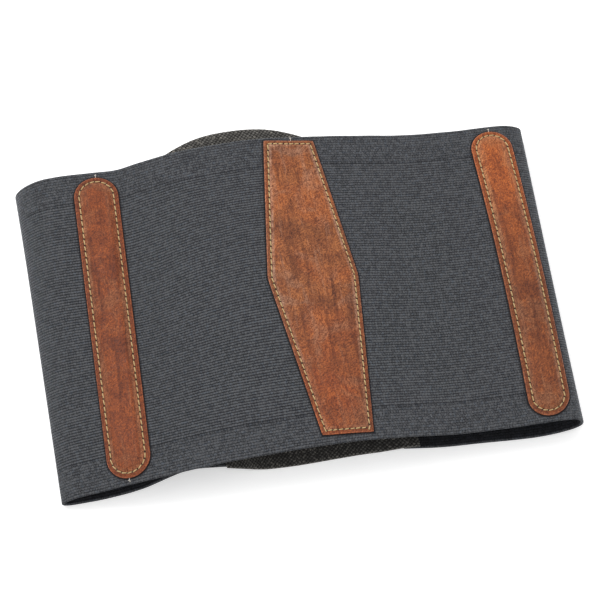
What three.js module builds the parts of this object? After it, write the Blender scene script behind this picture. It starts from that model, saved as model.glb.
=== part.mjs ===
// Lumbar support belt: a wide elastic loop with a padded front panel and three leather pieces on its back.
// It lies flattened with its back up. Millimetres, +X along the flat width, +Y up the belt, +Z up.

import * as THREE from "three";
import { mergeVertices } from "three/addons/utils/BufferGeometryUtils.js";

// Elastic loop
const GIRTH = 798;
const BELT_HEIGHT = 251;
const ELASTIC_WALL = 2;
const LOOP_RISE = 52;
const FAR_GIRTH_RATIO = 1.038;
const FAR_SHIFT = -2.4;
const BACK_SHIFT = 12;
const SLIP = 9;

// Front panel
const PANEL_WIDTH = 146;
const PANEL_OFFSET = -4;
const PANEL_LAP = 12;
const PANEL_PAD = 8;
const PANEL_EDGE = 3;
const PANEL_FAR_BOW = 32;
const PANEL_NEAR_EXTRA = 0.8;
const PANEL_NEAR_BOW = 2.9;
const PANEL_NEAR_SLANT = 1.5;
const PANEL_BOW_POWER = 2.4;
const PANEL_PAD_POWER = 4;
const PANEL_SINK = 22;
const PANEL_TURN = 3.6;
const SLANT_FADE = 60;

// Leather on the back
const LEATHER_WALL = 2;
const STRIP_SPACING = 305.6;
const STRIP_SHIFT = 1.4;
const STRIP_DROP = 0.6;
const LEFT_STRIP_WIDTH = 32.6;
const RIGHT_STRIP_WIDTH = 30.5;
const STRIP_MARGIN = 5;
const STRIP_CROWN = 2;
const CROWN_RUNOUT = 15;
const LEFT_STRIP_TURN = -1.4;
const RIGHT_STRIP_TURN = 1.55;
const RIGHT_STRIP_BEND = 2.4;
const PATCH_WIDTH = 66.6;
const PATCH_END_WIDTH = 37;
const PATCH_WIDEST_SHARE = 0.526;
const PATCH_BEND = -2;
const PATCH_MARGIN = 5;
const PATCH_RISE = 1.1;
const PATCH_SHIFT = 2.3;
const PATCH_TURN = 1.8;
const PATCH_SKEW_ANGLE = 5;

// Clearance between pieces that touch
const SEAT_GAP = 0.3;

// Stations across the flat width are shares of its half, lifts are shares of LOOP_RISE at the far and
// the near open end, and slips up the belt are shares of SLIP. First the back, which lies on top.
const BACK_LIFT = [
  { at: -1.0, far: 0.67, near: 0.2, slip: 0 },
  { at: -0.85, far: 0.76, near: 0.36, slip: 0 },
  { at: -0.7, far: 0.75, near: 0.52, slip: 0 },
  { at: -0.6, far: 0.72, near: 0.58, slip: 0.05 },
  { at: -0.5, far: 0.83, near: 0.66, slip: 0.1 },
  { at: -0.4, far: 0.93, near: 0.7, slip: 0.18 },
  { at: -0.3, far: 0.975, near: 0.72, slip: 0.25 },
  { at: -0.1, far: 1.0, near: 0.75, slip: 0.3 },
  { at: 0.1, far: 0.885, near: 0.76, slip: 0.3 },
  { at: 0.3, far: 0.755, near: 0.68, slip: 0.2 },
  { at: 0.5, far: 0.59, near: 0.57, slip: 0.05 },
  { at: 0.7, far: 0.505, near: 0.52, slip: 0 },
  { at: 0.88, far: 0.475, near: 0.53, slip: 0 },
  { at: 1.0, far: 0.4, near: 0.5, slip: 0 },
];

// The front, which lies underneath
const FRONT_LIFT = [
  { at: -1.0, far: 0, near: 0, slip: 0 },
  { at: -0.86, far: 0, near: 0, slip: 0.1 },
  { at: -0.7, far: 0, near: 0.1, slip: 0.3 },
  { at: -0.52, far: 0, near: 0.29, slip: 0.9 },
  { at: -0.4, far: 0, near: 0.21, slip: 1 },
  { at: -0.26, far: 0, near: 0.05, slip: 1 },
  { at: -0.1, far: 0, near: 0, slip: 1 },
  { at: 0.15, far: 0, near: 0, slip: 1 },
  { at: 0.3, far: 0, near: 0.03, slip: 0.66 },
  { at: 0.46, far: 0, near: 0.01, slip: 0.32 },
  { at: 0.6, far: 0, near: 0, slip: 0.2 },
  { at: 0.8, far: 0, near: 0, slip: 0 },
  { at: 1.0, far: 0, near: 0, slip: 0 },
];

// Folds: the height of the crease as a share of LOOP_RISE, and how far in the back and the front start to
// curve towards it, as shares of half the flat width.
const FOLDS = {
  far: [
    { side: -1, crease: 0.3, back: 0.13, front: 0.07 },
    { side: 1, crease: 0.26, back: 0.08, front: 0.07 },
  ],
  near: [
    { side: -1, crease: 0.07, back: 0.07, front: 0.05 },
    { side: 1, crease: 0.27, back: 0.05, front: 0.2 },
  ],
};

// Mesh steps, and the smallest face and the distance at which corners are one
const SECTION_STEPS = 240;
const FLAT_STEP = 9;
const TURN_STEP = 0.35;
const HEIGHT_STEPS = 6;
const PANEL_COLUMNS = 26;
const PANEL_ROWS = 18;
const LEATHER_COLUMNS = 6;
const LEATHER_ROWS = 24;
const GIRTH_TRIALS = 40;
const PROBE_SHARE = 0.002;
const SMALLEST_FACE = 1e-6;
const SAME_CORNER = 1e-4;

// Smooth curve through one column of a table
function through(rows, column, at) {
  let k = 0;
  while (k < rows.length - 2 && at > rows[k + 1].at) {
    k += 1;
  }
  const slope = (i) => {
    const a = rows[Math.max(i - 1, 0)];
    const b = rows[Math.min(i + 1, rows.length - 1)];
    return (b[column] - a[column]) / (b.at - a.at);
  };
  const span = rows[k + 1].at - rows[k].at;
  const t = THREE.MathUtils.clamp((at - rows[k].at) / span, 0, 1);
  const t2 = t * t;
  const t3 = t2 * t;
  return (
    rows[k][column] * (2 * t3 - 3 * t2 + 1) +
    rows[k + 1][column] * (3 * t2 - 2 * t3) +
    slope(k) * span * (t3 - 2 * t2 + t) +
    slope(k + 1) * span * (t3 - t2)
  );
}

// Share of a layer's height that is left where it curves into a fold
function foldShare(at, side, reach) {
  const inward = THREE.MathUtils.clamp((at * side - (1 - reach)) / reach, 0, 1);
  return Math.sqrt(1 - inward * inward);
}

// Height of the middle of the elastic's wall in one layer at one end
function layerHeight(end, layer, at) {
  const rows = layer === "back" ? BACK_LIFT : FRONT_LIFT;
  const lift = Math.max(0, through(rows, end, at)) * LOOP_RISE;
  const fold = FOLDS[end][at < 0 ? 0 : 1];
  const crease = fold.crease * LOOP_RISE;
  const left = foldShare(at, fold.side, fold[layer]);
  return ELASTIC_WALL / 2 + crease + (lift - crease) * left;
}

// Closed section at one open end, from the left fold over the back to the right fold and back below
function sectionOf(end, halfWidth) {
  const shift = end === "far" ? FAR_SHIFT : 0;
  const points = [];
  for (let i = 0; i <= 2 * SECTION_STEPS; i += 1) {
    const at = -Math.cos((Math.PI * i) / SECTION_STEPS);
    const layer = i <= SECTION_STEPS ? "back" : "front";
    const slip = through(layer === "back" ? BACK_LIFT : FRONT_LIFT, "slip", at) * SLIP;
    points.push({ x: shift + at * halfWidth, z: layerHeight(end, layer, at), slip, length: 0 });
  }
  for (let i = 1; i < points.length; i += 1) {
    const dx = points[i].x - points[i - 1].x;
    const dz = points[i].z - points[i - 1].z;
    points[i].length = points[i - 1].length + Math.hypot(dx, dz);
  }
  return points;
}

// The section whose length round is the girth asked for
function fittedSection(end, girth) {
  let low = girth / 8;
  let high = girth / 2;
  for (let i = 0; i < GIRTH_TRIALS; i += 1) {
    const middle = (low + high) / 2;
    if (sectionOf(end, middle).at(-1).length > girth) {
      high = middle;
    } else {
      low = middle;
    }
  }
  const points = sectionOf(end, low);
  const start = points.findIndex((p) => p.x >= BACK_SHIFT);
  return { points, total: points.at(-1).length, start: points[start].length };
}

const SECTIONS = {
  near: fittedSection("near", GIRTH),
  far: fittedSection("far", GIRTH * FAR_GIRTH_RATIO),
};

// Point of a section at a share of its girth, counted from the middle of the back to the right
function onSection(section, share) {
  const { points, total, start } = section;
  const length = THREE.MathUtils.euclideanModulo(start + share * total, total);
  let low = 0;
  let high = points.length - 1;
  while (high - low > 1) {
    const middle = (low + high) >> 1;
    if (points[middle].length > length) {
      high = middle;
    } else {
      low = middle;
    }
  }
  const a = points[low];
  const b = points[high];
  const k = (length - a.length) / (b.length - a.length);
  const mix = (name) => THREE.MathUtils.lerp(a[name], b[name], k);
  return { x: mix("x"), z: mix("z"), slip: mix("slip") };
}

// Point in the middle of the elastic's wall, at a height above the belt's mid line
function loopPoint(share, height) {
  const near = onSection(SECTIONS.near, share);
  const far = onSection(SECTIONS.far, share);
  const k = THREE.MathUtils.clamp(height / BELT_HEIGHT + 0.5, 0, 1);
  return new THREE.Vector3(
    THREE.MathUtils.lerp(near.x, far.x, k),
    height + THREE.MathUtils.lerp(near.slip, far.slip, k),
    THREE.MathUtils.lerp(near.z, far.z, k),
  );
}

// Point off the loop, outwards where the distance is positive
function offLoop(share, height, out) {
  const step = PROBE_SHARE * BELT_HEIGHT;
  const inside = THREE.MathUtils.clamp(height, step - BELT_HEIGHT / 2, BELT_HEIGHT / 2 - step);
  const along = loopPoint(share + PROBE_SHARE, inside).sub(loopPoint(share - PROBE_SHARE, inside));
  const up = loopPoint(share, inside + step).sub(loopPoint(share, inside - step));
  const normal = along.cross(up).normalize();
  return loopPoint(share, height).addScaledVector(normal, out);
}

// Closed body between two faces, each a grid of points with rows and columns
function slab(outer, inner) {
  const rows = outer.length;
  const columns = outer[0].length;
  const corners = [];
  const triangle = (a, b, c) => {
    const size = new THREE.Triangle(a, b, c).getArea();
    if (size > SMALLEST_FACE) {
      corners.push(a, b, c);
    }
  };
  const quad = (a, b, c, d) => {
    triangle(a, b, c);
    triangle(a, c, d);
  };
  for (let i = 0; i < rows - 1; i += 1) {
    for (let j = 0; j < columns - 1; j += 1) {
      quad(outer[i][j], outer[i][j + 1], outer[i + 1][j + 1], outer[i + 1][j]);
      quad(inner[i][j], inner[i + 1][j], inner[i + 1][j + 1], inner[i][j + 1]);
    }
  }
  for (let j = 0; j < columns - 1; j += 1) {
    quad(outer[0][j], inner[0][j], inner[0][j + 1], outer[0][j + 1]);
    const last = rows - 1;
    quad(outer[last][j], outer[last][j + 1], inner[last][j + 1], inner[last][j]);
  }
  for (let i = 0; i < rows - 1; i += 1) {
    quad(outer[i][0], outer[i + 1][0], inner[i + 1][0], inner[i][0]);
    const last = columns - 1;
    quad(outer[i][last], inner[i][last], inner[i + 1][last], outer[i + 1][last]);
  }
  const geometry = new THREE.BufferGeometry().setFromPoints(corners);
  const merged = mergeVertices(geometry, SAME_CORNER);
  merged.computeVertexNormals();
  return merged;
}

function gridOf(rows, columns, place) {
  return rows.map((row) => columns.map((column) => place(row, column)));
}

// Even steps from a to b
function steps(a, b, count) {
  return Array.from({ length: count + 1 }, (_, i) => THREE.MathUtils.lerp(a, b, i / count));
}

// Steps round the loop that are closer where it turns
function loopSteps(from, to) {
  const fine = steps(from, to, 4 * SECTION_STEPS);
  const weights = [0];
  const headings = fine.map((share) =>
    ["near", "far"].map((end) => {
      const a = onSection(SECTIONS[end], share - PROBE_SHARE / 4);
      const b = onSection(SECTIONS[end], share + PROBE_SHARE / 4);
      return Math.atan2(b.z - a.z, b.x - a.x);
    }),
  );
  const turn = (a, b) => Math.abs(Math.atan2(Math.sin(b - a), Math.cos(b - a)));
  for (let i = 1; i < fine.length; i += 1) {
    const length = (fine[i] - fine[i - 1]) * GIRTH;
    const nearBend = turn(headings[i - 1][0], headings[i][0]);
    const farBend = turn(headings[i - 1][1], headings[i][1]);
    const bend = Math.max(nearBend, farBend);
    weights.push(weights[i - 1] + length / FLAT_STEP + bend / TURN_STEP);
  }
  const count = Math.ceil(weights.at(-1));
  const found = [];
  let k = 0;
  for (let i = 0; i <= count; i += 1) {
    const wanted = (weights.at(-1) * i) / count;
    while (k < fine.length - 2 && weights[k + 1] < wanted) {
      k += 1;
    }
    const t = (wanted - weights[k]) / (weights[k + 1] - weights[k]);
    found.push(THREE.MathUtils.lerp(fine[k], fine[k + 1], THREE.MathUtils.clamp(t, 0, 1)));
  }
  return found;
}

const PANEL_MIDDLE = 0.5 + PANEL_OFFSET / GIRTH;
const PANEL_HALF = PANEL_WIDTH / 2 / GIRTH;

// Shift round the loop of a point above the mid line, as the panel lies a little turned
function panelLean(height) {
  return (height * Math.tan(THREE.MathUtils.degToRad(PANEL_TURN))) / GIRTH;
}

// The band's ends are cut along the panel's sides, and the slant fades out away from them
function bandLean(share, height) {
  const away = Math.abs(share - Math.round(share - PANEL_MIDDLE) - PANEL_MIDDLE);
  const fade = THREE.MathUtils.smoothstep(away, PANEL_HALF, PANEL_HALF + SLANT_FADE / GIRTH);
  return panelLean(height) * (1 - fade);
}

// Elastic band, from the left side of the panel over the back to its right side
function elasticBand() {
  const lap = PANEL_LAP / GIRTH;
  const from = PANEL_MIDDLE - 1 + PANEL_HALF - lap;
  const to = PANEL_MIDDLE - PANEL_HALF + lap;
  const columns = loopSteps(from, to);
  const rows = steps(-BELT_HEIGHT / 2, BELT_HEIGHT / 2, HEIGHT_STEPS);
  const place = (out) => (height, share) => offLoop(share + bandLean(share, height), height, out);
  const face = (out) => gridOf(rows, columns, place(out));
  return slab(face(ELASTIC_WALL / 2), face(-ELASTIC_WALL / 2));
}

// Padded front panel: its sides lie inside the band's ends, and its middle comes down level with them
function frontPanel() {
  const place = (side) => (v, u) => {
    const bow = 1 - Math.abs(u) ** PANEL_BOW_POWER;
    const far = BELT_HEIGHT / 2 + PANEL_FAR_BOW * bow;
    const out = PANEL_NEAR_EXTRA + PANEL_NEAR_BOW * bow + PANEL_NEAR_SLANT * u;
    const near = -BELT_HEIGHT / 2 - out;
    const height = THREE.MathUtils.lerp(near, far, (v + 1) / 2);
    const pad = (1 - Math.abs(u) ** PANEL_PAD_POWER) * (1 - Math.abs(v) ** PANEL_PAD_POWER);
    const thick = THREE.MathUtils.lerp(PANEL_EDGE, PANEL_PAD, pad);
    const clear = (1 - Math.abs(u)) * (PANEL_WIDTH / 2) - PANEL_LAP;
    const sink = THREE.MathUtils.smoothstep(clear, 0, PANEL_SINK);
    const sole = THREE.MathUtils.lerp(-ELASTIC_WALL / 2 - SEAT_GAP, ELASTIC_WALL / 2, sink);
    const level = side > 0 ? sole : sole - thick;
    return offLoop(PANEL_MIDDLE + u * PANEL_HALF + panelLean(height), height, level);
  };
  const rows = steps(-1, 1, PANEL_ROWS);
  const columns = steps(-1, 1, PANEL_COLUMNS);
  return slab(gridOf(rows, columns, place(1)), gridOf(rows, columns, place(-1)));
}

// Leather piece on the back, from its half width and its sideways drift along its length
function leatherPiece({ middle, lift, turn, skew, length, halfWidth, drift, crown, rows }) {
  const place = (thick) => (v, u) => {
    const side = u * halfWidth(v) + drift(v);
    const along = (v * length) / 2;
    const angle = THREE.MathUtils.degToRad(turn);
    const distance = middle + side * Math.cos(angle) - along * Math.sin(angle);
    const drop = side * Math.tan(THREE.MathUtils.degToRad(skew));
    const height = lift + along * Math.cos(angle) + side * Math.sin(angle) - drop;
    const runout = ((1 - Math.abs(v)) * length) / 2;
    const rise = crown * (1 - u * u) * Math.min(1, runout / CROWN_RUNOUT);
    const seat = ELASTIC_WALL / 2 + SEAT_GAP;
    return offLoop(distance / GIRTH, height, seat + thick * (LEATHER_WALL + rise));
  };
  const columns = steps(-1, 1, LEATHER_COLUMNS);
  return slab(gridOf(rows, columns, place(1)), gridOf(rows, columns, place(0)));
}

// Strip with round ends, which bends to the right between them
function strip(side, width, turn, bend) {
  const length = BELT_HEIGHT - 2 * STRIP_MARGIN;
  const round = width / length;
  const rows = steps(-1, 1, LEATHER_ROWS).map((v) => Math.sin((v * Math.PI) / 2));
  const halfWidth = (v) => (width / 2) * foldShare(Math.abs(v), 1, round);
  return leatherPiece({
    middle: STRIP_SHIFT + (side * STRIP_SPACING) / 2,
    lift: -STRIP_DROP,
    turn,
    skew: 0,
    length,
    halfWidth,
    drift: (v) => bend * (1 - v * v),
    crown: STRIP_CROWN,
    rows,
  });
}

// Six-sided patch, widest a little above its middle, where it bends a little to the left
function backPatch() {
  const length = BELT_HEIGHT - 2 * PATCH_MARGIN;
  const widest = 2 * PATCH_WIDEST_SHARE - 1;
  const away = (v) => (v > widest ? (v - widest) / (1 - widest) : (widest - v) / (1 + widest));
  const below = steps(-1, widest, LEATHER_ROWS / 2);
  const above = steps(widest, 1, LEATHER_ROWS / 2).slice(1);
  return leatherPiece({
    middle: PATCH_SHIFT,
    lift: PATCH_RISE,
    turn: PATCH_TURN,
    skew: PATCH_SKEW_ANGLE,
    length,
    halfWidth: (v) => THREE.MathUtils.lerp(PATCH_WIDTH, PATCH_END_WIDTH, away(v)) / 2,
    drift: (v) => PATCH_BEND * (1 - away(v)),
    crown: 0,
    rows: [...below, ...above],
  });
}

const elastic = new THREE.MeshStandardMaterial({ color: 0x4c4d50, roughness: 0.9, metalness: 0 });
const tweed = new THREE.MeshStandardMaterial({ color: 0x4a4743, roughness: 0.95, metalness: 0 });
const leather = new THREE.MeshStandardMaterial({ color: 0x955e43, roughness: 0.65, metalness: 0 });

function named(name, geometry, material) {
  const mesh = new THREE.Mesh(geometry, material);
  mesh.name = name;
  return mesh;
}

const belt = new THREE.Group();
belt.add(
  named("elastic_band", elasticBand(), elastic),
  named("front_panel", frontPanel(), tweed),
  named("left_strip", strip(-1, LEFT_STRIP_WIDTH, LEFT_STRIP_TURN, 0), leather),
  named("right_strip", strip(1, RIGHT_STRIP_WIDTH, RIGHT_STRIP_TURN, RIGHT_STRIP_BEND), leather),
  named("back_patch", backPatch(), leather),
);

// The origin is the middle of the box's underside
const box = new THREE.Box3().setFromObject(belt, true);
const middle = box.getCenter(new THREE.Vector3());
belt.position.set(-middle.x, -middle.y, -box.min.z);
belt.updateMatrixWorld(true);

export default belt;
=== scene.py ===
"""Lumbar support belt: a wide ribbed elastic loop that lies flattened with its back up, with a padded tweed
front panel underneath and three stitched leather pieces on its back.

Metres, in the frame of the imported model. A point of the loop is given by its distance round the loop, counted
from the middle of the back to the right, and by its height above the belt's mid line."""

import math

import bmesh
import bpy
import numpy as np
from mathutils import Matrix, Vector


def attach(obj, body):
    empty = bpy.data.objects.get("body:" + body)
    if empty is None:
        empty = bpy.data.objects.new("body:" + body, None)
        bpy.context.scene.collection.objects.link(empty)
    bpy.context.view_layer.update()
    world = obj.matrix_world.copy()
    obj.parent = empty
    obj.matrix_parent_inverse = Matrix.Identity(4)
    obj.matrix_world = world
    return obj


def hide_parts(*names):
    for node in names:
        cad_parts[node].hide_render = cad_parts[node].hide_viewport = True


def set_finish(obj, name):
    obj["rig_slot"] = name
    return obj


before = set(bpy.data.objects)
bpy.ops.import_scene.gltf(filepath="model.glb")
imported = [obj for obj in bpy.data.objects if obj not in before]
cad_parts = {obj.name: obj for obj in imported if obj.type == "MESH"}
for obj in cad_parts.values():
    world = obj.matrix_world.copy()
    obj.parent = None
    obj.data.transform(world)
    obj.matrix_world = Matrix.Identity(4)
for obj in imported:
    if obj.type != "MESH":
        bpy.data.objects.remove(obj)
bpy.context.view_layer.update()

bl_info = {
    "name": "Lumbar support belt",
    "version": (1, 0, 0),
    "blender": (4, 5, 0),
    "location": "View3D > Sidebar > Belt",
    "description": "Elastic, leather, tweed and stitches of a lumbar support belt",
    "category": "Object",
}

BODY = "root"

# The loop's lie, as in the part's source. Stations across the flat width are shares of its half, lifts are
# shares of the loop's rise at the far and the near open end, and slips are shares of SLIP up the belt.
LOOP_RISE = 0.052
FAR_EASE = 1.038
FAR_SHIFT = -0.0024
BACK_SHIFT = 0.012
SLIP = 0.009
ORIGIN = Vector((0.0024, -0.02043, 0))

BACK_LIFT = [
    {"at": -1.0, "far": 0.67, "near": 0.2, "slip": 0},
    {"at": -0.85, "far": 0.76, "near": 0.36, "slip": 0},
    {"at": -0.7, "far": 0.75, "near": 0.52, "slip": 0},
    {"at": -0.6, "far": 0.72, "near": 0.58, "slip": 0.05},
    {"at": -0.5, "far": 0.83, "near": 0.66, "slip": 0.1},
    {"at": -0.4, "far": 0.93, "near": 0.7, "slip": 0.18},
    {"at": -0.3, "far": 0.975, "near": 0.72, "slip": 0.25},
    {"at": -0.1, "far": 1.0, "near": 0.75, "slip": 0.3},
    {"at": 0.1, "far": 0.885, "near": 0.76, "slip": 0.3},
    {"at": 0.3, "far": 0.755, "near": 0.68, "slip": 0.2},
    {"at": 0.5, "far": 0.59, "near": 0.57, "slip": 0.05},
    {"at": 0.7, "far": 0.505, "near": 0.52, "slip": 0},
    {"at": 0.88, "far": 0.475, "near": 0.53, "slip": 0},
    {"at": 1.0, "far": 0.4, "near": 0.5, "slip": 0},
]

FRONT_LIFT = [
    {"at": -1.0, "far": 0, "near": 0, "slip": 0},
    {"at": -0.86, "far": 0, "near": 0, "slip": 0.1},
    {"at": -0.7, "far": 0, "near": 0.1, "slip": 0.3},
    {"at": -0.52, "far": 0, "near": 0.29, "slip": 0.9},
    {"at": -0.4, "far": 0, "near": 0.21, "slip": 1},
    {"at": -0.26, "far": 0, "near": 0.05, "slip": 1},
    {"at": -0.1, "far": 0, "near": 0, "slip": 1},
    {"at": 0.15, "far": 0, "near": 0, "slip": 1},
    {"at": 0.3, "far": 0, "near": 0.03, "slip": 0.66},
    {"at": 0.46, "far": 0, "near": 0.01, "slip": 0.32},
    {"at": 0.6, "far": 0, "near": 0, "slip": 0.2},
    {"at": 0.8, "far": 0, "near": 0, "slip": 0},
    {"at": 1.0, "far": 0, "near": 0, "slip": 0},
]

# Folds: the crease's height as a share of LOOP_RISE, and how far in the back and the front start to curve
FOLDS = {
    "far": {-1: {"crease": 0.3, "back": 0.13, "front": 0.07}, 1: {"crease": 0.26, "back": 0.08, "front": 0.07}},
    "near": {-1: {"crease": 0.07, "back": 0.07, "front": 0.05}, 1: {"crease": 0.27, "back": 0.05, "front": 0.2}},
}

# Soft waves in the back: depth, and waves in one girth and one height
WAVES = [
    {"depth": 0.00022, "round": 9.0, "up": 0.6, "start": 0.3},
    {"depth": 0.00016, "round": 17.0, "up": -1.1, "start": 1.9},
    {"depth": 0.0001, "round": 31.0, "up": 2.3, "start": 4.1},
]

SECTION_STEPS = 240
GIRTH_TRIALS = 40
PROBE = 0.002
SEAT_GAP = 0.0003
SLANT_FADE = 0.06
PANEL_BOW_POWER = 2.4
PANEL_SINK = 0.022


# Sizes and colours that a user would change

def size(name, description, default, low=0.0):
    return bpy.props.FloatProperty(name=name, description=description, default=default, unit="LENGTH",
                                   min=low, precision=5)


def angle(name, description, degrees):
    return bpy.props.FloatProperty(name=name, description=description, default=math.radians(degrees),
                                   unit="ROTATION")


def share(name, description, default, top=1.0):
    return bpy.props.FloatProperty(name=name, description=description, default=default, min=0, max=top,
                                   subtype="FACTOR")


def colour(name, description, default):
    return bpy.props.FloatVectorProperty(name=name, description=description, default=default, size=3,
                                         min=0, max=1, subtype="COLOR")


class BeltElastic(bpy.types.PropertyGroup):
    girth: size("Girth", "Length once round the loop", 0.798)
    height: size("Height", "Height of the belt when worn", 0.251)
    wall: size("Wall", "Thickness of the elastic", 0.002)
    rib: size("Rib pitch", "Height of one rib of the weave", 0.00209)
    dash: size("Float length", "Length of the thread that shows between two ties", 0.0021)
    border: size("Border", "Height of the flatter weave along both open ends", 0.0245)
    pull_at: size("Pull place", "Distance from the back's middle where the ribs run most aslant", -0.084,
                  low=-0.4)
    pull_lift: size("Pull height", "Height above the belt's middle where the ribs run most aslant", 0.02)
    pull_reach: size("Pull reach", "How far round that place the ribs are pulled", 0.07)
    pull_slope: share("Pull slope", "Slope of the ribs at that place", 0.145)
    yarn: colour("Yarn", "Colour of the ribs", (0.094, 0.0972, 0.1035))
    ground: colour("Ground", "Colour between the ribs", (0.0155, 0.016, 0.0185))


class BeltPanel(bpy.types.PropertyGroup):
    width: size("Width", "Width of the front panel", 0.146)
    offset: size("Offset", "How far the panel's middle is short of the loop's half", 0.004)
    lap: size("Lap", "How far the elastic reaches under the panel's sides", 0.012)
    pad: size("Pad", "Thickness in the middle", 0.008)
    edge: size("Edge", "Thickness at the sides", 0.003)
    far_bow: size("Far bow", "How far the far edge stands out in its middle", 0.032)
    near_extra: size("Near extra", "How far the near edge stands out all along", 0.0008)
    near_bow: size("Near bow", "How much further it stands out in its middle", 0.0029)
    near_slant: size("Near slant", "How much more it is out at the left, and less at the right", 0.0015)
    turn: angle("Turn", "Turn of the panel in the loop", 3.6)
    cell: size("Weave", "Width of one cell of the tweed", 0.0031)
    dark: colour("Warp", "Dark threads of the tweed", (0.012, 0.011, 0.011))
    light: colour("Weft", "Light threads of the tweed", (0.128, 0.123, 0.115))


class BeltLeather(bpy.types.PropertyGroup):
    wall: size("Wall", "Thickness of the leather", 0.002)
    spacing: size("Spacing", "Distance between the two strips round the loop", 0.3056)
    strip_shift: size("Strip shift", "How far the strips are to the right of the middle", 0.0014)
    strip_drop: size("Strip drop", "How far the strips are below the mid line", 0.0006)
    left_width: size("Left width", "Width of the left strip", 0.0326)
    right_width: size("Right width", "Width of the right strip", 0.0305)
    right_bend: size("Right bend", "How far the right strip bends to the right between its ends", 0.0024)
    strip_margin: size("Strip margin", "Distance from a strip's ends to the elastic's edges", 0.005)
    crown: size("Crown", "How far a stay lifts the middle of a strip", 0.002)
    left_turn: angle("Left turn", "Turn of the left strip", -1.4)
    right_turn: angle("Right turn", "Turn of the right strip", 1.55)
    patch_width: size("Patch width", "Width of the patch where it is widest", 0.0666)
    patch_end: size("Patch end", "Width of the patch at its ends", 0.037)
    patch_margin: size("Patch margin", "Distance from the patch's ends to the elastic's edges", 0.005)
    patch_rise: size("Patch rise", "How far the patch is above the mid line", 0.0011)
    patch_shift: size("Patch shift", "How far the patch is to the right of the middle", 0.0023)
    widest: share("Widest", "Where the patch is widest, from its near end", 0.526)
    patch_bend: size("Patch bend", "How far the patch bends to the left where it is widest", 0.002)
    patch_turn: angle("Patch turn", "Turn of the patch", 1.8)
    patch_skew: angle("Patch skew", "Slant of the patch's ends", 5)
    stitch: size("Stitch", "Length of one stitch", 0.0051)
    tighter: share("Tighter ends", "How much closer the stitches are across the piece", 0.25)
    inset: size("Seam inset", "Distance from a strip's edge to its seam", 0.0036)
    patch_inset: size("Patch seam inset", "Distance from the patch's edge to its seam", 0.003)
    thread: size("Thread", "Thickness of the sewing thread", 0.0009)
    face: colour("Face", "Colour of the leather", (0.212, 0.0615, 0.019))
    rim: colour("Rim", "Colour of the leather outside the seam", (0.190, 0.056, 0.0165))
    thread_colour: colour("Thread colour", "Colour of the sewing thread", (0.64, 0.47, 0.215))


class BeltStage(bpy.types.PropertyGroup):
    azimuth: angle("Azimuth", "Where the camera stands round the belt", -8.9)
    elevation: angle("Elevation", "How far the camera stands above the floor", 65)
    distance: size("Distance", "From the camera to its aim", 1.7)
    lens: bpy.props.FloatProperty(name="Lens", description="Focal length on a 36 mm film", default=134.72,
                                  unit="CAMERA")
    floor: colour("Floor", "Colour of the floor", (0.9, 0.9, 0.9))


AIM = Vector((0.00531, -0.0129, 0.015))


# The loop

def through(table, column, at):
    """Smooth curve through one column of a table."""
    x = np.array([row["at"] for row in table])
    y = np.array([float(row[column]) for row in table])
    slope = np.empty_like(y)
    slope[1:-1] = (y[2:] - y[:-2]) / (x[2:] - x[:-2])
    slope[0] = (y[1] - y[0]) / (x[1] - x[0])
    slope[-1] = (y[-1] - y[-2]) / (x[-1] - x[-2])
    k = np.clip(np.searchsorted(x, at) - 1, 0, len(x) - 2)
    span = x[k + 1] - x[k]
    t = np.clip((at - x[k]) / span, 0, 1)
    t2, t3 = t * t, t * t * t
    return (y[k] * (2 * t3 - 3 * t2 + 1) + y[k + 1] * (3 * t2 - 2 * t3)
            + slope[k] * span * (t3 - 2 * t2 + t) + slope[k + 1] * span * (t3 - t2))


def fold_share(at, side, reach):
    """Share of a layer's height that is left where it curves into a fold."""
    inward = np.clip((at * side - (1 - reach)) / reach, 0, 1)
    return np.sqrt(1 - inward * inward)


def smoothstep(low, high, x):
    t = np.clip((x - low) / (high - low), 0, 1)
    return t * t * (3 - 2 * t)


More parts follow.
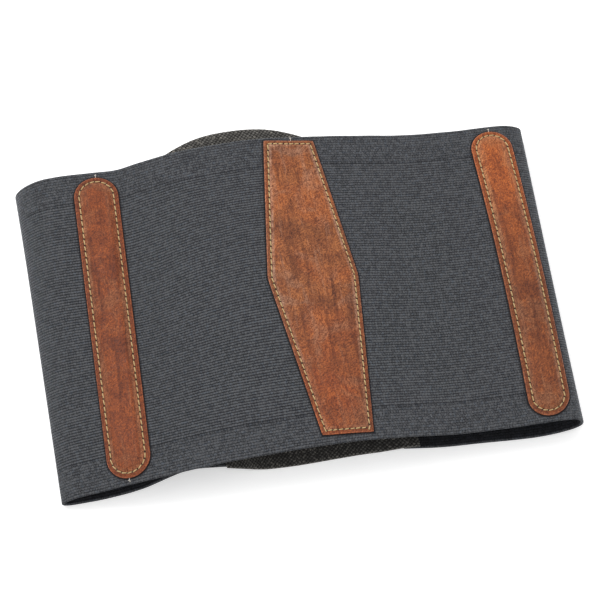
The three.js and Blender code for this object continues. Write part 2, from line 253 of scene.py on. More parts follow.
class Loop:
    """The elastic's middle surface: straight up the belt between its near and its far section."""

    def __init__(self, elastic):
        self.girth, self.height, self.wall = elastic.girth, elastic.height, elastic.wall
        self.near = self.fitted("near", self.girth)
        self.far = self.fitted("far", self.girth * FAR_EASE)

    def section(self, end, half_width):
        i = np.arange(2 * SECTION_STEPS + 1)
        at = -np.cos(np.pi * i / SECTION_STEPS)
        back = i <= SECTION_STEPS
        columns = {}
        for name in (end, "slip"):
            columns[name] = np.where(back, through(BACK_LIFT, name, at), through(FRONT_LIFT, name, at))
        lift = np.maximum(0, columns[end]) * LOOP_RISE
        left, right = FOLDS[end][-1], FOLDS[end][1]
        crease = np.where(at < 0, left["crease"], right["crease"]) * LOOP_RISE
        kept = np.ones(len(at))
        for side, fold in ((-1, left), (1, right)):
            for layer, here in (("back", back), ("front", ~back)):
                mine = here & (at < 0 if side < 0 else at >= 0)
                kept = np.where(mine, fold_share(at, side, fold[layer]), kept)
        x = (FAR_SHIFT if end == "far" else 0) + at * half_width
        z = self.wall / 2 + crease + (lift - crease) * kept
        length = np.concatenate([[0], np.cumsum(np.hypot(np.diff(x), np.diff(z)))])
        return {"x": x, "z": z, "slip": columns["slip"] * SLIP, "length": length}

    def fitted(self, end, girth):
        """The section whose length round is the girth asked for."""
        low, high = girth / 8, girth / 2
        for _ in range(GIRTH_TRIALS):
            middle = (low + high) / 2
            if self.section(end, middle)["length"][-1] > girth:
                high = middle
            else:
                low = middle
        found = self.section(end, low)
        found["start"] = found["length"][np.argmax(found["x"] >= BACK_SHIFT)]
        return found

    def on_section(self, section, distance):
        total = section["length"][-1]
        length = (section["start"] + distance / self.girth * total) % total
        return [np.interp(length, section["length"], section[name]) for name in ("x", "z", "slip")]

    def middle(self, distance, height):
        """Points of the wall's middle, one for each distance and height."""
        distance, height = np.broadcast_arrays(distance, height)
        near = self.on_section(self.near, distance)
        far = self.on_section(self.far, distance)
        k = np.clip(height / self.height + 0.5, 0, 1)
        x, z, slip = (a + (b - a) * k for a, b in zip(near, far))
        return np.stack([x, height + slip, z], axis=-1)

    def off(self, distance, height, out):
        """Points off the loop, outwards where out is positive, placed in the frame."""
        distance, height = np.broadcast_arrays(np.asarray(distance, float), np.asarray(height, float))
        step, probe = PROBE * self.height, PROBE * self.girth
        inside = np.clip(height, step - self.height / 2, self.height / 2 - step)
        along = self.middle(distance + probe, inside) - self.middle(distance - probe, inside)
        up = self.middle(distance, inside + step) - self.middle(distance, inside - step)
        normal = np.cross(along, up)
        normal /= np.linalg.norm(normal, axis=-1, keepdims=True)
        out = np.broadcast_to(out, distance.shape) + self.wave(distance, height)
        return self.middle(distance, height) + normal * out[..., None] + np.array(ORIGIN)

    def wave(self, distance, height):
        """Soft unevenness of the back, which fades out at the folds."""
        turn = 2 * np.pi * distance / self.girth
        up = 2 * np.pi * height / self.height
        rise = sum(w["depth"] * np.sin(w["round"] * turn + w["up"] * up + w["start"]) for w in WAVES)
        return rise * smoothstep(0.05, 0.45, np.cos(turn))

    def turning(self, distance):
        """Heading of the two sections, to place columns closer where they turn."""
        probe = PROBE * self.girth / 4
        headings = []
        for section in (self.near, self.far):
            a = self.on_section(section, distance - probe)
            b = self.on_section(section, distance + probe)
            headings.append(np.unwrap(np.arctan2(b[1] - a[1], b[0] - a[0])))
        return headings

    def columns(self, start, end, flat_step, turn_step):
        """Distances from start to end, closer together where the loop turns."""
        fine = np.linspace(start, end, 8 * SECTION_STEPS)
        bend = np.max([np.abs(np.diff(h)) for h in self.turning(fine)], axis=0)
        weight = np.concatenate([[0], np.cumsum(np.diff(fine) / flat_step + bend / turn_step)])
        return np.interp(np.linspace(0, weight[-1], math.ceil(weight[-1]) + 1), weight, fine)


# Meshes of the soft goods

def pillow(name, distances, heights, place, maps=()):
    """Closed body between an outer and an inner face that meet at their rims. place gives the points of a
    face for the side it is on, and maps are named pairs of grids, one value for each column and row. The
    attribute lining is 1 on the inner face."""
    rows, columns = len(heights), len(distances)
    grids = [place(1), place(-1)]
    inner = np.zeros((rows, columns), int)
    outer = np.arange(rows * columns).reshape(rows, columns)
    shared = np.zeros((rows, columns), bool)
    shared[[0, -1], :] = True
    shared[:, [0, -1]] = True
    inner[shared] = outer[shared]
    inner[~shared] = rows * columns + np.arange((~shared).sum())
    points = np.concatenate([grids[0].reshape(-1, 3), grids[1][~shared]])
    quads = []
    for index, turned in ((outer, False), (inner, True)):
        a, b, c, d = index[:-1, :-1], index[:-1, 1:], index[1:, 1:], index[1:, :-1]
        corners = (a, d, c, b) if turned else (a, b, c, d)
        quads.append(np.stack(corners, axis=-1).reshape(-1, 4))
    quads = np.concatenate(quads)
    mesh = bpy.data.meshes.new(name)
    mesh.from_pydata(points.tolist(), [], quads.tolist())
    for label, u, v in maps:
        layer = mesh.uv_layers.new(name=label)
        both = [np.concatenate([g.reshape(-1), g[~shared]]) for g in (u, v)]
        corners = quads.reshape(-1)
        layer.data.foreach_set("uv", np.stack([both[0][corners], both[1][corners]], axis=-1).reshape(-1))
    lining = mesh.attributes.new("lining", "FLOAT", "POINT")
    lining.data.foreach_set("value", [0.0] * (rows * columns) + [1.0] * int((~shared).sum()))
    mesh.polygons.foreach_set("use_smooth", [True] * len(mesh.polygons))
    piece = bpy.data.objects.new(name, mesh)
    bpy.context.scene.collection.objects.link(piece)
    return piece


def rounded_stops(low, high, radius, count, step):
    """Stations from low to high that are close together in a round rim at each end, and how full the rim is."""
    bend = np.linspace(0, np.pi / 2, count + 1)
    rim = radius * (1 - np.cos(bend))
    middle = np.linspace(low + radius, high - radius, max(2, round((high - low - 2 * radius) / step)) + 1)
    stops = np.concatenate([low + rim[:-1], middle, (high - rim[:-1])[::-1]])
    full = np.concatenate([np.sin(bend[:-1]), np.ones(len(middle)), np.sin(bend[:-1])[::-1]])
    return stops, full


# Modelling by hand

def start_clean():
    if bpy.context.object and bpy.context.object.mode != "OBJECT":
        bpy.ops.object.mode_set(mode="OBJECT")
    bpy.ops.object.select_all(action="DESELECT")


def choose(piece, kind, test):
    """In edit mode, select the vertices, edges or faces for which the test holds."""
    bpy.ops.mesh.select_mode(type=kind)
    bpy.ops.mesh.select_all(action="DESELECT")
    shape = bmesh.from_edit_mesh(piece.data)
    items = {"VERT": shape.verts, "EDGE": shape.edges, "FACE": shape.faces}[kind]
    count = 0
    for item in items:
        if test(item):
            item.select_set(True)
            count += 1
    shape.select_flush_mode()
    bmesh.update_edit_mesh(piece.data)
    if not count:
        raise RuntimeError(f"{piece.name}: nothing chosen")
    return count


def outline_of(piece):
    """Corners of a flat piece's one face, in order."""
    face = piece.data.polygons[0]
    return np.array([piece.data.vertices[i].co[:2] for i in face.vertices])


def inset_path(outline, depth):
    """The outline moved inwards, for a convex outline that runs anticlockwise."""
    along = np.roll(outline, -1, axis=0) - outline
    keep = np.linalg.norm(along, axis=1) > 1e-7
    outline, along = outline[keep], along[keep]
    along /= np.linalg.norm(along, axis=1, keepdims=True)
    inward = np.stack([-along[:, 1], along[:, 0]], axis=1)
    before = np.roll(inward, 1, axis=0)
    middle = inward + before
    middle /= (middle * inward).sum(axis=1, keepdims=True)
    return outline + middle * depth


def seam_places(path, points):
    """Distance along a closed path of the nearest place to each point, and the distance to it."""
    start, step = path, np.roll(path, -1, axis=0) - path
    length = np.linalg.norm(step, axis=1)
    begin = np.concatenate([[0], np.cumsum(length)])[:-1]
    best = np.full(len(points), np.inf)
    along = np.zeros(len(points))
    for a, s, l, b in zip(start, step, length, begin):
        t = np.clip(((points - a) @ s) / (l * l), 0, 1)
        gap = np.linalg.norm(points - a - t[:, None] * s, axis=1)
        nearer = gap < best
        best[nearer] = gap[nearer]
        along[nearer] = (b + t * l)[nearer]
    return along, best


class Cut:
    """A leather piece's place on the loop, from its flat pattern."""

    def __init__(self, loop, middle, lift, turn, inset, skew=0.0, crown=0.0, bend=0.0, length=1.0):
        self.loop, self.middle, self.lift, self.turn, self.skew = loop, middle, lift, turn, skew
        self.inset, self.crown, self.bend, self.length = inset, crown, bend, length

    def lay(self, points):
        """Points in the frame, from x across, y along and z off the elastic in the flat pattern."""
        x, y, z = points[:, 0], points[:, 1], points[:, 2]
        x = x + self.bend * np.maximum(0, 1 - (2 * y / self.length) ** 2)
        distance = self.middle + x * math.cos(self.turn) - y * math.sin(self.turn)
        height = self.lift + y * math.cos(self.turn) + x * math.sin(self.turn) - x * math.tan(self.skew)
        return self.loop.off(distance, height, self.loop.wall / 2 + SEAT_GAP + z)

    def pattern(self, f, distance, height):
        """Shader values of x and y in the flat pattern, the other way round than lay."""
        across, up = distance - self.middle, height - self.lift
        cos, slant = math.cos(self.turn), math.sin(self.turn) - math.tan(self.skew)
        scale = cos**2 + math.sin(self.turn) * slant
        x = (across * cos + up * math.sin(self.turn)) / scale
        y = (up * cos - across * slant) / scale
        bow = f.sum("MAXIMUM", 1 - (y * 2 / self.length) ** 2, 0.0)
        return x - bow * self.bend, y


def strip_cuts(loop, leather):
    """Name, width, cut and ends with thread left over, of each strip."""
    length = loop.height - 2 * leather.strip_margin
    sides = [
        ("left_strip", -1, leather.left_width, leather.left_turn, 0.0, (1, -1)),
        ("right_strip", 1, leather.right_width, leather.right_turn, leather.right_bend, (1,)),
    ]
    for name, side, width, turn, bend, ends in sides:
        middle = leather.strip_shift + side * leather.spacing / 2
        yield name, width, ends, Cut(loop, middle, -leather.strip_drop, turn, leather.inset,
                                     crown=leather.crown, bend=bend, length=length)


def patch_cut(loop, leather):
    return Cut(loop, leather.patch_shift, leather.patch_rise, leather.patch_turn, leather.patch_inset,
               leather.patch_skew, crown=0.0004)


def patch_corners(loop, leather):
    """Corners of the flat patch, anticlockwise from the lower left one."""
    high = loop.height / 2 - leather.patch_margin
    end, wide = leather.patch_end / 2, leather.patch_width / 2
    waist = (2 * leather.widest - 1) * high
    return [(-end, -high), (end, -high), (wide - leather.patch_bend, waist), (end, high), (-end, high),
            (-wide - leather.patch_bend, waist)]


def beside_leather(f, distance, height, loop, leather):
    """Shader value of how far a point of the elastic is from the nearest edge of a leather piece."""
    nearest = None
    for _, width, _, cut in strip_cuts(loop, leather):
        x, y = cut.pattern(f, distance, height)
        past = f.sum("MAXIMUM", f.sum("ABSOLUTE", y) - (cut.length - width) / 2, 0.0)
        away = f.sum("SQRT", x * x + past * past) - width / 2
        nearest = away if nearest is None else f.sum("MINIMUM", nearest, away)
    corners = patch_corners(loop, leather)
    x, y = patch_cut(loop, leather).pattern(f, distance, height)
    away = None
    for (x1, y1), (x2, y2) in zip(corners, corners[1:] + corners[:1]):
        run = math.hypot(x2 - x1, y2 - y1)
        out = (x - x1) * ((y2 - y1) / run) - (y - y1) * ((x2 - x1) / run)
        away = out if away is None else f.sum("MAXIMUM", away, out)
    return f.sum("MINIMUM", nearest, away)


def cut_strip(name, leather, width, height):
    """Flat strip with round ends, from a disc whose halves are pulled apart."""
    start_clean()
    length = height - 2 * leather.strip_margin
    bpy.ops.mesh.primitive_circle_add(vertices=66, radius=width / 2, fill_type="NGON")
    strip = bpy.context.object
    strip.name = strip.data.name = name
    bpy.ops.object.mode_set(mode="EDIT")
    pull = (length - width) / 2
    for side in (-1, 1):
        choose(strip, "VERT", lambda v: side * v.co.y > 0)
        bpy.ops.transform.translate(value=(0, side * pull, 0))
    bpy.ops.object.mode_set(mode="OBJECT")
    return strip


def cut_patch(name, leather, height):
    """Flat six-sided patch, from a plane that is widened between its ends."""
    start_clean()
    length = height - 2 * leather.patch_margin
    bpy.ops.mesh.primitive_plane_add(size=1)
    patch = bpy.context.object
    patch.name = patch.data.name = name
    bpy.ops.object.mode_set(mode="EDIT")
    bpy.ops.mesh.select_all(action="SELECT")
    bpy.ops.transform.resize(value=(leather.patch_end, length, 1), center_override=(0, 0, 0))
    choose(patch, "EDGE", lambda e: abs(e.verts[0].co.x - e.verts[1].co.x) < 1e-6)
    bpy.ops.mesh.subdivide(number_cuts=1)
    choose(patch, "VERT", lambda v: abs(v.co.y) < 1e-6)
    bpy.ops.transform.resize(value=(leather.patch_width / leather.patch_end, 1, 1), center_override=(0, 0, 0))
    bpy.ops.transform.translate(value=(-leather.patch_bend, (leather.widest - 0.5) * length, 0))
    bpy.ops.mesh.select_mode(type="FACE")
    bpy.ops.mesh.select_all(action="SELECT")
    bpy.ops.mesh.dissolve_faces()
    bpy.ops.object.mode_set(mode="OBJECT")
    return patch


def finish_leather(piece, leather, seam_inset, row_step, column_step):
    """Thickness, rounded rims, a seam groove and a fine grid, all still flat."""
    wall = leather.wall
    bpy.context.view_layer.objects.active = piece
    piece.select_set(True)
    bpy.ops.object.mode_set(mode="EDIT")
    bpy.ops.mesh.select_mode(type="FACE")
    bpy.ops.mesh.select_all(action="SELECT")
    bpy.ops.mesh.extrude_region_move(TRANSFORM_OT_translate={"value": (0, 0, wall)})
    bpy.ops.mesh.select_all(action="SELECT")
    bpy.ops.mesh.normals_make_consistent(inside=False)

    def on_rim(edge, level):
        flat = all(abs(v.co.z - level) < 1e-6 for v in edge.verts)
        return flat and any(abs(f.normal.z) < 0.1 for f in edge.link_faces)

    choose(piece, "EDGE", lambda e: on_rim(e, wall))
    bpy.ops.mesh.bevel(offset=0.45 * wall, segments=3, affect="EDGES")
    choose(piece, "EDGE", lambda e: on_rim(e, 0))
    bpy.ops.mesh.bevel(offset=0.15 * wall, segments=1, affect="EDGES")
    choose(piece, "FACE", lambda f: f.normal.z > 0.999 and abs(f.calc_center_median().z - wall) < 1e-5)
    groove = 0.0007
    for thickness, depth in ((seam_inset - 0.45 * wall - 2 * groove, 0), (groove, -0.1 * wall),
                             (groove, -0.12 * wall), (groove, 0.12 * wall), (groove, 0.1 * wall),
                             (0.0015, 0), (0.002, 0)):
        bpy.ops.mesh.inset(thickness=thickness, depth=depth, use_even_offset=True)
    low = [min(v.co[i] for v in bmesh.from_edit_mesh(piece.data).verts) for i in (0, 1)]
    high = [max(v.co[i] for v in bmesh.from_edit_mesh(piece.data).verts) for i in (0, 1)]
    for axis, step in ((0, column_step), (1, row_step)):
        count = round((high[axis] - low[axis]) / step)
        for k in range(1, count):
            spot, normal = [0, 0, 0], [0, 0, 0]
            spot[axis] = low[axis] + (high[axis] - low[axis]) * k / count + 1e-5
            normal[axis] = 1
            bpy.ops.mesh.select_all(action="SELECT")
            bpy.ops.mesh.bisect(plane_co=spot, plane_no=normal)
    bpy.ops.mesh.select_all(action="SELECT")
    bpy.ops.mesh.remove_doubles(threshold=2e-5)
    bpy.ops.object.mode_set(mode="OBJECT")


def lay_leather(piece, cut, leather, outline, path, seam):
    """Notes how far each point is from the seam, and from the rim as a share of the seam's inset, and lays the
    flat piece on the elastic."""
    mesh = piece.data
    flat = np.array([v.co[:] for v in mesh.vertices])
    along, gap = seam_places(path, flat[:, :2])
    along = np.interp(along, seam.begin, seam.number)
    _, rim = seam_places(outline, flat[:, :2])
    corners = np.array([i for p in mesh.polygons for i in p.vertices])
    s, d = along[corners].copy(), gap[corners]
    start = 0
    for face in mesh.polygons:
        mine = s[start:start + face.loop_total]
        if mine.max() - mine.min() > seam.count / 2:
            mine[mine < seam.count / 2] += seam.count
        start += face.loop_total
    for label, u, v in (("grain", flat[corners, 0], flat[corners, 1]), ("seam", s, d)):
        layer = mesh.uv_layers.new(name=label)
        layer.data.foreach_set("uv", np.stack([u, v], axis=-1).reshape(-1))
    note = mesh.attributes.new("rim", "FLOAT", "POINT")
    note.data.foreach_set("value", rim / cut.inset)
    top = smoothstep(0.3 * leather.wall, 0.9 * leather.wall, flat[:, 2])
    raised = flat.copy()
    if len(outline) < 10:
        for corner in outline:
            away = raised[:, :2] - corner
            near = 1 - smoothstep(0, 0.004, np.linalg.norm(away, axis=1))
            inward = -corner / np.linalg.norm(corner)
            raised[:, :2] += near[:, None] ** 2 * 0.0003 * inward
    raised[:, 2] += top * cut.crown * smoothstep(cut.inset, cut.inset + 0.005, rim)
    raised[:, 2] -= top * 0.0003 * (1 - smoothstep(0, cut.inset, rim))
    placed = cut.lay(raised)
    mesh.vertices.foreach_set("co", placed.reshape(-1))
    mesh.update()
    start_clean()
    piece.select_set(True)
    bpy.context.view_layer.objects.active = piece
    bpy.ops.object.shade_smooth_by_angle(angle=math.radians(40))


def model_stitch(leather):
    """One stitch, from a ball that is drawn out, flattened at its ends and twisted a little off the seam."""
    start_clean()
    bpy.ops.mesh.primitive_uv_sphere_add(segments=8, ring_count=6, radius=leather.thread / 2)
    stitch = bpy.context.object
    stitch.name = "stitch_pattern"
    long = 0.41 * leather.stitch
    bpy.ops.object.mode_set(mode="EDIT")
    bpy.ops.mesh.select_all(action="SELECT")
    bpy.ops.transform.rotate(value=math.pi / 2, orient_axis="Y", center_override=(0, 0, 0))
    for side in (-1, 1):
        choose(stitch, "VERT", lambda v: side * v.co.x > 0.2 * leather.thread)
        bpy.ops.transform.translate(value=(side * (long - leather.thread / 2), side * 0.0002, 0))
        choose(stitch, "VERT", lambda v: side * v.co.x > long - 0.25 * leather.thread)
        bpy.ops.transform.translate(value=(0, 0, -0.0003))
    bpy.ops.object.mode_set(mode="OBJECT")
    return stitch


class Seam:
    """A closed path of the flat pattern, with the number of stitches from its start to each corner. The
    stitches are shorter where the seam runs across the piece."""

    def __init__(self, path, leather):
        self.closed = np.concatenate([path, path[:1]])
        step = np.diff(self.closed, axis=0)
        length = np.linalg.norm(step, axis=1)
        across = np.abs(step[:, 0]) / length
        self.begin = np.concatenate([[0], np.cumsum(length)])
        number = np.concatenate([[0], np.cumsum(length * (1 + leather.tighter * across**2) / leather.stitch)])
        self.count = round(number[-1])
        self.number = number * self.count / number[-1]

    def at(self, number):
        """Place and direction at a number of stitches from the start."""
        far = np.interp(number % self.count, self.number, self.begin)
        here, ahead = ([np.interp(d % self.begin[-1], self.begin, self.closed[:, i]) for i in (0, 1)]
                       for d in (far, far + 2e-4))
        run = np.array(ahead) - here
        return np.array(here), run / np.linalg.norm(run)


def sew(name, stitch, cut, leather, seam):
    """A row of stitches along a seam."""
    shape = np.array([v.co[:] for v in stitch.data.vertices])
    faces = [list(p.vertices) for p in stitch.data.polygons]
    uneven = np.random.default_rng(7)
    points, quads, cords = [], [], []
    for k in range(seam.count):
        middle, tangent = seam.at(k + 0.5 + uneven.uniform(-0.04, 0.04))
        across = np.array([-tangent[1], tangent[0]])
        stretch = uneven.uniform(0.92, 1.05) / (1 + leather.tighter * tangent[0] ** 2)
        flat = middle + shape[:, :1] * stretch * tangent + shape[:, 1:2] * across
        level = 0.9 * leather.wall + shape[:, 2] + uneven.uniform(-4e-5, 4e-5)
        points.append(np.concatenate([flat, level[:, None]], axis=1))
        quads += [[i + k * len(shape) for i in f] for f in faces]
        cords.append(np.stack([shape[:, 0] / leather.thread + k, shape[:, 1] / leather.thread], axis=1))
    mesh = bpy.data.meshes.new(name)
    mesh.from_pydata(cut.lay(np.concatenate(points)).tolist(), [], quads)
    corners = [i for q in quads for i in q]
    layer = mesh.uv_layers.new(name="thread")
    layer.data.foreach_set("uv", np.concatenate(cords)[corners].reshape(-1))
    mesh.polygons.foreach_set("use_smooth", [True] * len(mesh.polygons))
    row = bpy.data.objects.new(name, mesh)
    bpy.context.scene.collection.objects.link(row)
    return row


def thread_tails(name, cut, leather, at, ends):
    """Cut thread ends beyond a seam: bent curves on the flat pattern, laid on the elastic."""
    start_clean()
    made = []
    for sideways, onwards, lift in ends:
        bpy.ops.curve.primitive_bezier_curve_add()
        tail = bpy.context.object
        curve = tail.data
        curve.bevel_depth, curve.bevel_resolution, curve.resolution_u = 0.00022, 1, 6
        curve.use_fill_caps = True
        first, last = curve.splines[0].bezier_points
        start = Vector((at[0], at[1], 0.0004))
        end = start + Vector((sideways, onwards, lift))
        first.co, last.co = start, end
        first.handle_left_type = first.handle_right_type = "FREE"
        last.handle_left_type = last.handle_right_type = "FREE"
        first.handle_right = start + Vector((-sideways * 0.4, onwards * 0.5, lift))
        first.handle_left = start - Vector((0, onwards * 0.2, 0))
        last.handle_left = end - Vector((sideways * 0.6, -onwards * 0.1, -lift * 0.4))
        last.handle_right = end + Vector((sideways * 0.2, 0, 0))
        made.append(tail)
    for tail in made:
        tail.select_set(True)
    bpy.context.view_layer.objects.active = made[0]
    bpy.ops.object.convert(target="MESH")
    bpy.ops.object.join()
    tails = bpy.context.object
    tails.name = tails.data.name = name
    bpy.ops.object.transform_apply(location=True, rotation=True, scale=True)
    flat = np.array([v.co[:] for v in tails.data.vertices])
    corners = [i for p in tails.data.polygons for i in p.vertices]
    layer = tails.data.uv_layers.new(name="thread")
    layer.data.foreach_set("uv", (flat[corners][:, [1, 0]] / leather.thread).reshape(-1))
    placed = cut.lay(flat)
    tails.data.vertices.foreach_set("co", placed.reshape(-1))
    tails.data.update()
    bpy.ops.object.shade_smooth()
    return tails


# Materials

class Value:
    """A socket whose arithmetic adds Math nodes."""

    def __init__(self, finish, socket):
        self.finish, self.socket = finish, socket

    def __add__(self, other):
        return self.finish.sum("ADD", self, other)

    def __sub__(self, other):
        return self.finish.sum("SUBTRACT", self, other)

    def __rsub__(self, other):
        return self.finish.sum("SUBTRACT", other, self)

    def __mul__(self, other):
        return self.finish.sum("MULTIPLY", self, other)

    def __truediv__(self, other):
        return self.finish.sum("DIVIDE", self, other)

    def __pow__(self, other):
        return self.finish.sum("POWER", self, other)

    __radd__, __rmul__ = __add__, __mul__


class Finish:
    """A node material, built node by node."""

    def __init__(self, name):
        self.material = bpy.data.materials.new(name)
        self.material.use_nodes = True
        self.tree = self.material.node_tree
        self.tree.nodes.clear()

    def node(self, kind, settings=None, values=None, out=0):
        """A node with its settings made first, then the values or links of its sockets."""
        node = self.tree.nodes.new("ShaderNode" + kind)
        for name, value in (settings or {}).items():
            if name == "stops":
                ramp = node.color_ramp
                while len(ramp.elements) < len(value):
                    ramp.elements.new(1)
                for element, (place, shade) in zip(ramp.elements, value):
                    element.position, element.color = place, shade
            else:
                setattr(node, name, value)
        for name, value in (values or {}).items():
            socket = node.inputs[name]
            if isinstance(value, Value):
                self.tree.links.new(value.socket, socket)
            elif hasattr(value, "__len__") and len(value) == 3 and socket.type == "RGBA":
                socket.default_value = (*value, 1)
            else:
                socket.default_value = value
        return Value(self, node.outputs[out]) if node.outputs else None

    def sum(self, operation, *values):
        return self.node("Math", {"operation": operation}, dict(enumerate(values)))

    def smooth(self, value, low, high):
        """0 below low, 1 above high and smooth between."""
        return self.node("MapRange", {"interpolation_type": "SMOOTHSTEP"},
                         {0: value, 1: low, 2: high, 3: 0.0, 4: 1.0})

    def mix(self, factor, a, b, kind="MIX"):
        """Mixed colour."""
        return self.node("Mix", {"data_type": "RGBA", "blend_type": kind}, {0: factor, 6: a, 7: b}, out=2)

    def blend(self, factor, a, b):
        """Mixed number."""
        return self.node("Mix", {"data_type": "FLOAT"}, {0: factor, 2: a, 3: b}, out=0)

    def parts(self, place):
        """The three values of a place."""
        node = self.node("SeparateXYZ", {}, {0: place}).socket.node
        return [Value(self, socket) for socket in node.outputs]

    def map(self, name):
        """The two values of a UV map."""
        return self.parts(self.node("UVMap", {"uv_map": name}))[:2]

    def spot(self, x, y, z=0.0):
        return self.node("CombineXYZ", {}, {0: x, 1: y, 2: z})

    def noise(self, place, scale, detail=2.0, roughness=0.5, distortion=0.0):
        return self.node("TexNoise", {"noise_dimensions": "3D"},
                         {"Vector": place, "Scale": scale, "Detail": detail, "Roughness": roughness,
                          "Distortion": distortion})

    def chance(self, place):
        """A random number for each whole place."""
        return self.node("TexWhiteNoise", {"noise_dimensions": "3D"}, {"Vector": place})

    def surface(self, values, height=None, strength=1.0, distance=0.001):
        """The shader and its output, with a bump where a height is given."""
        if height is not None:
            values["Normal"] = self.node("Bump", {}, {"Strength": strength, "Distance": distance,
                                                      "Height": height})
        shader = self.node("BsdfPrincipled", {}, values)
        self.node("OutputMaterial", {}, {"Surface": shader})
        return self.material


def elastic_finish(elastic, loop, leather):
    """Ribbed elastic: floats of yarn in rows with dark ties between, a flatter border at both open ends, painted
    shade on the inner face, and a line of painted shadow beside the leather, which also dips in the bump."""
    f = Finish("ribbed_elastic")
    u, v = f.map("weave")
    place = f.spot(u, v)
    from_edge = elastic.height / 2 - f.sum("ABSOLUTE", v)
    border = 1 - f.smooth(from_edge, elastic.border - 0.0015, elastic.border + 0.0005)
    wander = f.noise(place, 48.0, 2.0) - 0.5
    beyond, above = u - elastic.pull_at, v - elastic.pull_lift
    near = f.sum("EXPONENT", (beyond * beyond + above * above) / -(elastic.pull_reach**2))
    row = (v - beyond * near * elastic.pull_slope) / elastic.rib + wander * 0.4
    rank = f.sum("FLOOR", row)
    rib = f.sum("SINE", f.sum("FRACT", row) * math.pi)
    start = f.chance(f.spot(rank, 3.0)) * 0.9 + rank * 0.5
    run = u / elastic.dash + start + (f.noise(place, 260.0, 1.0) - 0.5) * 1.4
    count = f.sum("FLOOR", run)
    float_rise = f.sum("SINE", f.sum("FRACT", run) * math.pi) ** 0.6
    luck = f.chance(f.spot(count, rank, 7.0))
    slub = f.noise(f.spot(u * 1000.0, v * 1400.0), 1.0, 1.0, 0.5)
    cloudy = f.noise(place, 9.0, 2.0, 0.5)
    rib_depth = f.blend(border, 1.0, 0.6) * (1 - f.smooth(u, -0.02, 0.03) * 0.25)
    light = 0.48 + (rib - 0.63) * 1.15 * rib_depth + (luck - 0.5) * 0.5
    light = light + (float_rise - 0.75) * 0.5 + (slub - 0.5) * 2.1 + (cloudy - 0.5) * 0.05
    line = 1 - f.smooth(f.sum("ABSOLUTE", from_edge - elastic.border), 0.0003, 0.0014)
    light = light - line * 0.28
    shade = f.mix(f.smooth(light, -0.25, 1.25), list(elastic.ground), list(elastic.yarn))
    speck = f.node("TexVoronoi", {"feature": "F1", "voronoi_dimensions": "3D"},
                   {"Vector": place, "Scale": 42.0, "Randomness": 1.0})
    lint = (1 - f.smooth(speck, 0.012, 0.03)) * f.smooth(f.noise(place, 21.0, 1.0), 0.56, 0.6)
    shade = f.mix(lint * 0.8, shade, [0.36, 0.37, 0.40])
    # Painted shade: the inner face is darkened to about a third, fading out at the open ends' rims, for the shade
    # inside the flattened loop.
    lining = f.node("Attribute", {"attribute_name": "lining"}, out=2) * f.smooth(from_edge, 0.0006, 0.0016)
    shade = f.mix(1.0, shade, f.mix(lining, [1.0, 1.0, 1.0], [0.32, 0.32, 0.35]), "MULTIPLY")
    tint = f.smooth(f.noise(place, 420.0, 2.0, 0.6), 0.5, 0.66)
    shade = f.mix(tint * 0.5, shade, f.mix(1.0, shade, [0.82, 0.98, 1.16], "MULTIPLY"))
    # Painted shadow: a near-black line on the outer face beside the edges of the leather pieces, where the
    # leather would cast shade; the bump dips along the same line.
    away = beside_leather(f, u, v, loop, leather)
    line = (1 - f.smooth(away, 0.0003, 0.0018)) * (1 - lining)
    shade = f.mix(line * 0.8, shade, [0.008, 0.008, 0.010])
    height = rib * rib_depth * 0.8 + float_rise * 0.3 + slub * 0.3 - line
    return f.surface(
        {"Base Color": shade, "Roughness": 0.92, "Specular IOR Level": 0.2, "Sheen Weight": 0.3,
         "Sheen Roughness": 0.35, "Sheen Tint": (0.85, 0.88, 0.95, 1)},
        height, 0.8, 0.0008)


def tweed_finish(panel):
    """Tweed in a small diamond weave, with light flecks."""
    f = Finish("diamond_tweed")
    u, v = f.map("weave")
    level = f.parts(f.node("TexCoord", {}, out=3))[2]
    u, v = u + level * 0.5, v + level * 0.6
    place = f.spot(u, v)
    wander = (f.noise(place, 70.0, 2.0) - 0.5) * 0.5
    one = (u + v) / panel.cell + wander
    two = (u - v) / panel.cell + wander
    cell = f.sum("SINE", f.sum("FRACT", one) * math.pi) * f.sum("SINE", f.sum("FRACT", two) * math.pi)
    luck = f.chance(f.spot(f.sum("FLOOR", one), f.sum("FLOOR", two)))
    yarn = f.noise(f.spot(u * 900.0, v * 900.0), 1.0, 3.0, 0.65)
    light = cell * 0.85 + (luck - 0.5) * 0.5 + (yarn - 0.5) * 0.9 - 0.12
    shade = f.mix(f.smooth(light, 0.0, 1.0), list(panel.dark), list(panel.light))
    fleck = f.smooth(yarn + luck * 0.25, 0.78, 0.86)
    shade = f.mix(fleck * 0.7, shade, [0.34, 0.31, 0.26])
    height = cell * 0.8 + yarn * 0.6
    return f.surface(
        {"Base Color": shade, "Roughness": 0.95, "Specular IOR Level": 0.2, "Sheen Weight": 0.4,
         "Sheen Roughness": 0.5, "Sheen Tint": (0.9, 0.86, 0.78, 1)},
        height, 0.9, 0.0012)


